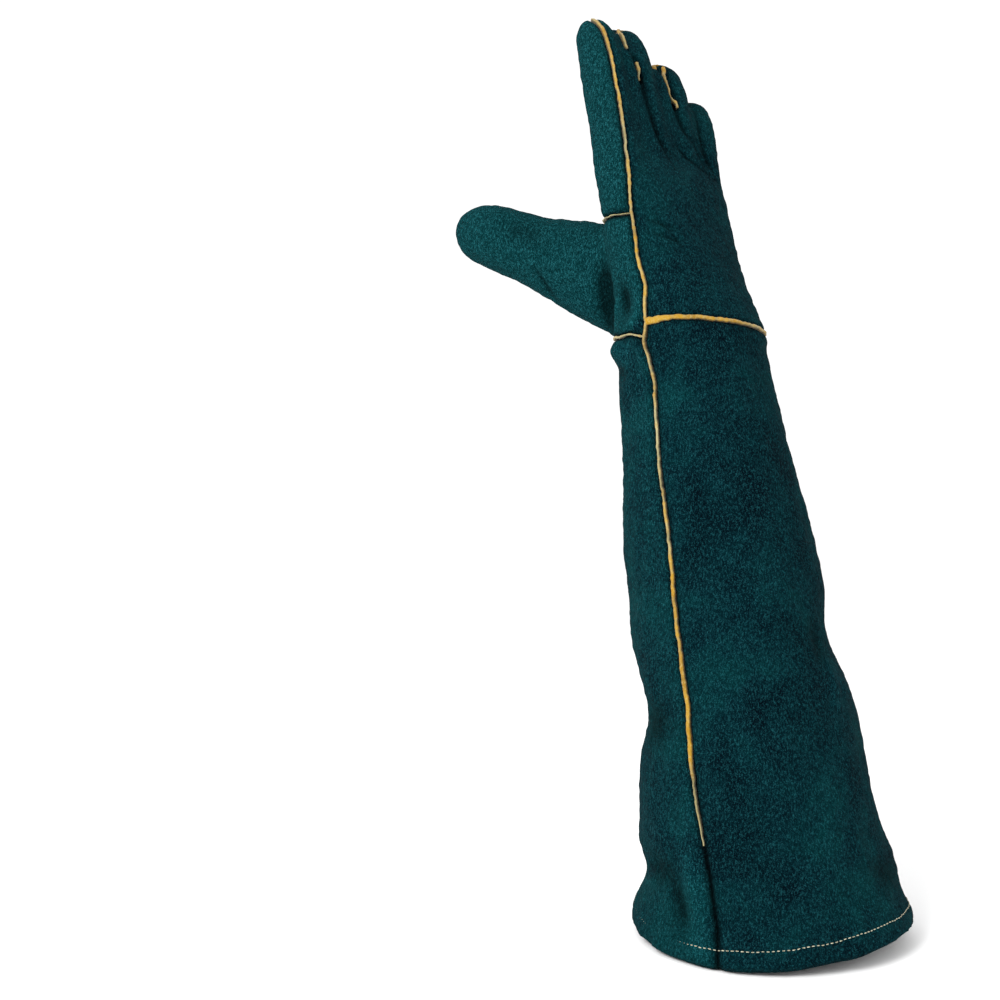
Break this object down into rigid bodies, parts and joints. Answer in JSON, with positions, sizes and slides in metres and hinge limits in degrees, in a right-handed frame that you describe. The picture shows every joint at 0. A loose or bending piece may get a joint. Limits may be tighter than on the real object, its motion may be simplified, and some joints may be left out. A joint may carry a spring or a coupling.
{
  "type": "bite-proof glove",
  "caption": "Long-cuff right-hand leather work glove for handling animals, with a flared cuff, welted seams and a spread thumb.",
  "frame": {"origin": "centre of the arm opening, at the lowest point of the cuff's edge", "axes": "+Z from the arm opening up to the fingertips, +X to the thumb side, +Y to the back of the hand"},
  "size_m": [0.1816, 0.3204, 0.6089],
  "materials": {
    "green_split_leather": "matte split cowhide with a short nap, dyed dark green",
    "yellow_welt_leather": "matte thin split leather strip, yellow tan",
    "white_thread": "matte twisted sewing thread, off-white"
  },
  "bodies": {
    "root": {"cuff_back_panel": "green_split_leather", "cuff_palm_panel": "green_split_leather", "hand_back_panel": "green_split_leather", "palm_panel": "green_split_leather", "thumb_panel": "green_split_leather", "middle_ring_front_panel": "green_split_leather", "cuff_welt": "yellow_welt_leather", "wrist_back_welt": "yellow_welt_leather", "wrist_palm_welt": "yellow_welt_leather", "hand_outline_welt": "yellow_welt_leather", "thumb_welt": "yellow_welt_leather", "crotch_welt": "yellow_welt_leather", "finger_base_welt": "yellow_welt_leather"}
  },
  "joints": []
}
